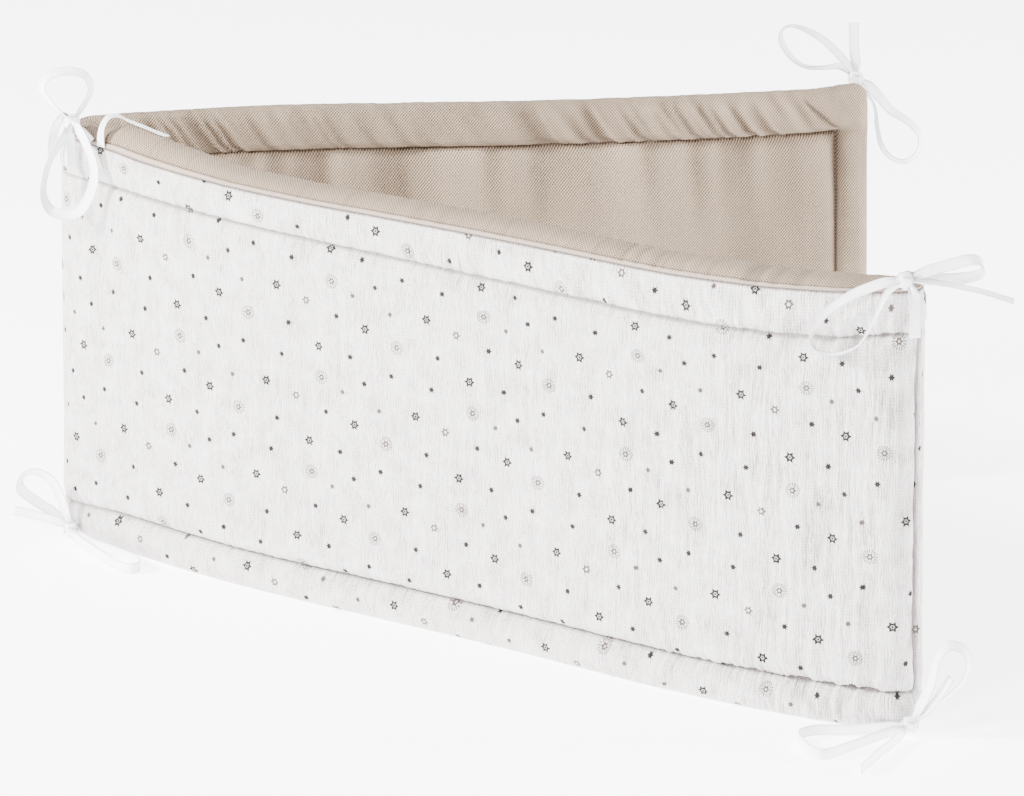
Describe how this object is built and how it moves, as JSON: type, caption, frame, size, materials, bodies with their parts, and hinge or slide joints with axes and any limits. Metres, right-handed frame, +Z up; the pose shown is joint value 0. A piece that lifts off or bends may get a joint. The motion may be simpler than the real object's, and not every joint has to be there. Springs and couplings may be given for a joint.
{
  "type": "crib bumper",
  "caption": "Padded crib bumper of printed muslin and plain pique, folded once and standing on its long edge, with ribbon ties in bows.",
  "frame": {"origin": "centre of the padded panel's outline box, on the surface that it stands on", "axes": "+Z up, +X from the fold towards the open ends of the wings, +Y from the front wing towards the back wing"},
  "size_m": [0.8878, 0.7981, 0.4601],
  "materials": {
    "printed_muslin": "crinkled double-layer muslin, near white, printed with small stars and dots",
    "beige_pique": "beige cotton pique with a fine raised weave",
    "white_ribbon": "white ribbon with a soft sheen"
  },
  "bodies": {
    "root": {"printed_panel": "printed_muslin", "plain_panel": "beige_pique", "tie_front_top": "white_ribbon", "tie_front_bottom": "white_ribbon", "tie_back_top": "white_ribbon", "tie_back_bottom": "white_ribbon", "tie_fold_top": "white_ribbon", "tie_fold_bottom": "white_ribbon", "tie_fold_inner": "white_ribbon"}
  },
  "joints": []
}
